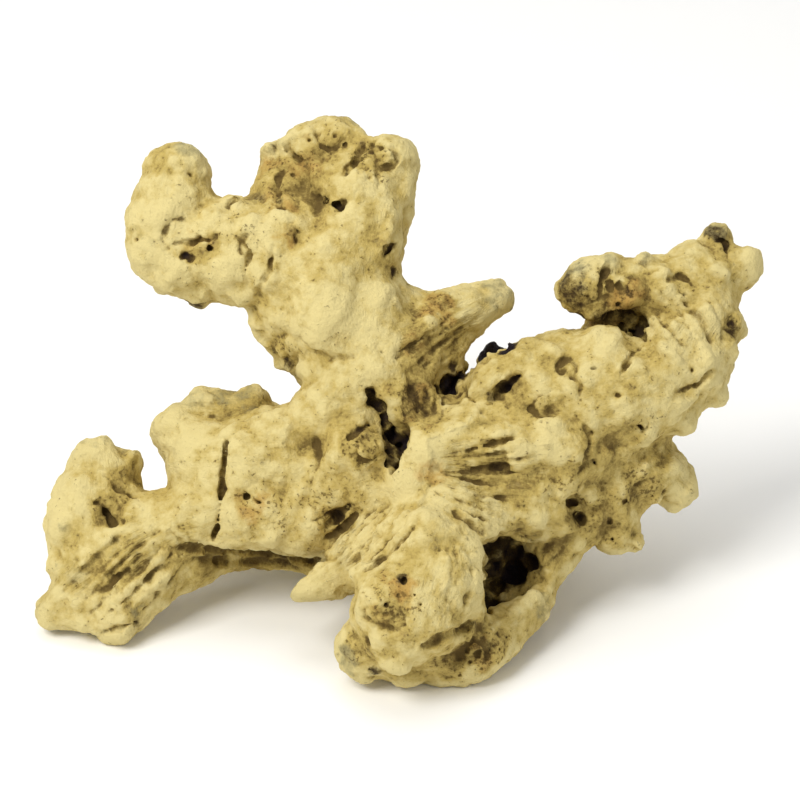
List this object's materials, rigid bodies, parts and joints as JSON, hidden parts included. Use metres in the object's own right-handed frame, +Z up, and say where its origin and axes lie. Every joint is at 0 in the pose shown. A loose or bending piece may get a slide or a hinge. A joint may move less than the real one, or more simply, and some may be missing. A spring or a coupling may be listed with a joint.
{
  "type": "piece of wood",
  "caption": "Gnarled, sandblasted piece of pale root wood with knobby branches, hollows and pits, standing on three feet.",
  "frame": {"origin": "middle of the piece's box, at the height of the ground it stands on", "axes": "+X to the viewer's right along the piece's longest side, -Y towards the viewer, +Z up"},
  "size_m": [0.291, 0.182, 0.1766],
  "materials": {
    "wood": "dry, matt, sandblasted bare wood"
  },
  "bodies": {
    "root": {"gnarled_wood": "wood"}
  },
  "joints": []
}
